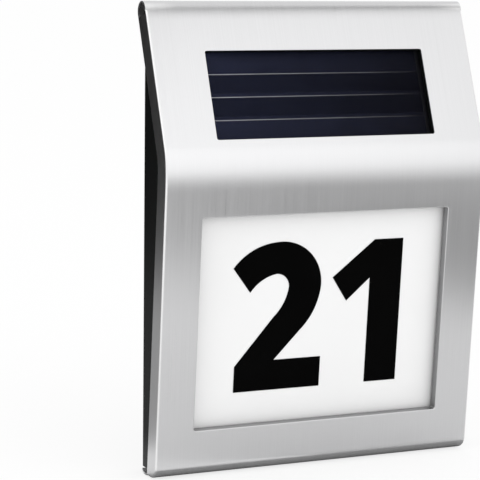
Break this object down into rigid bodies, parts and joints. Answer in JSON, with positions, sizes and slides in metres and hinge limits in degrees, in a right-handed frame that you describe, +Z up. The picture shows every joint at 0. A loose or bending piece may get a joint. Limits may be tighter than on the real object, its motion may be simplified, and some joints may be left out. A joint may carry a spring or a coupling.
{
  "type": "illuminated house number sign",
  "caption": "Wall-mounted solar house number sign: a bent brushed steel cover with a solar panel on its sloping top and a lit white number panel in its front.",
  "frame": {"origin": "midway between the two keyhole entry holes, on the wall plane", "axes": "+X to the viewer's right, +Y back into the wall, +Z up"},
  "size_m": [0.16, 0.035, 0.2126],
  "materials": {
    "brushed_steel_cover": "vertical brushed, satin",
    "black_moulding": "fine spark-eroded texture",
    "black_rubber": "plain",
    "screw_steel": "zinc plated",
    "clear_sheet": "gloss, clear",
    "silicon_cell": "dark blue under the sheet",
    "cell_contact_lines": "thin silver lines",
    "black_laminate": "black board",
    "opal_white": "opal, smooth",
    "black_film": "adhesive vinyl film",
    "white_moulding": "white, semi-gloss",
    "green_laminate": "circuit board lacquer",
    "white_laminate": "white circuit board lacquer",
    "lamp_chip": "phosphor in a white body",
    "nickel_contact": "nickel plated spring steel",
    "cell_sleeve": "shrink sleeve, plain",
    "component_black": "epoxy",
    "switch_metal": "pressed tin-plated frame",
    "wire_insulation": "PVC insulation"
  },
  "bodies": {
    "sign": {"front_cover": "brushed_steel_cover", "inner_frame": "black_moulding", "rear_housing": "black_moulding", "housing_seal": "black_rubber", "housing_screws": "screw_steel", "solar_cover_sheet": "clear_sheet", "solar_board": "black_laminate", "solar_cell_strips": "silicon_cell", "solar_bus_lines": "cell_contact_lines", "solar_seal": "black_rubber", "number_panel": "opal_white", "figure_two": "black_film", "figure_one": "black_film", "reflector_tray": "white_moulding", "led_board": "white_laminate", "led_chips": "lamp_chip", "led_board_screws": "screw_steel", "battery_cell": "cell_sleeve", "battery_contact_plus": "nickel_contact", "battery_contact_minus": "nickel_contact", "control_board": "green_laminate", "board_screws": "screw_steel", "board_components": "component_black", "power_switch_body": "switch_metal", "solar_wires": "wire_insulation", "battery_wires": "wire_insulation", "lamp_wires": "wire_insulation"},
    "power_switch": {"power_switch_slider": "black_moulding"},
    "battery_door": {"battery_door": "black_moulding", "battery_door_screws": "screw_steel", "battery_door_seal": "black_rubber"}
  },
  "joints": [
    {"name": "power_switch_slide", "type": "slide", "parent": "sign", "child": "power_switch", "axis": [1, 0, 0], "range_m": [0, 0.0025]},
    {"name": "battery_door_removal", "type": "slide", "parent": "sign", "child": "battery_door", "axis": [0, 1, 0], "range_m": [0, 0.02]}
  ]
}
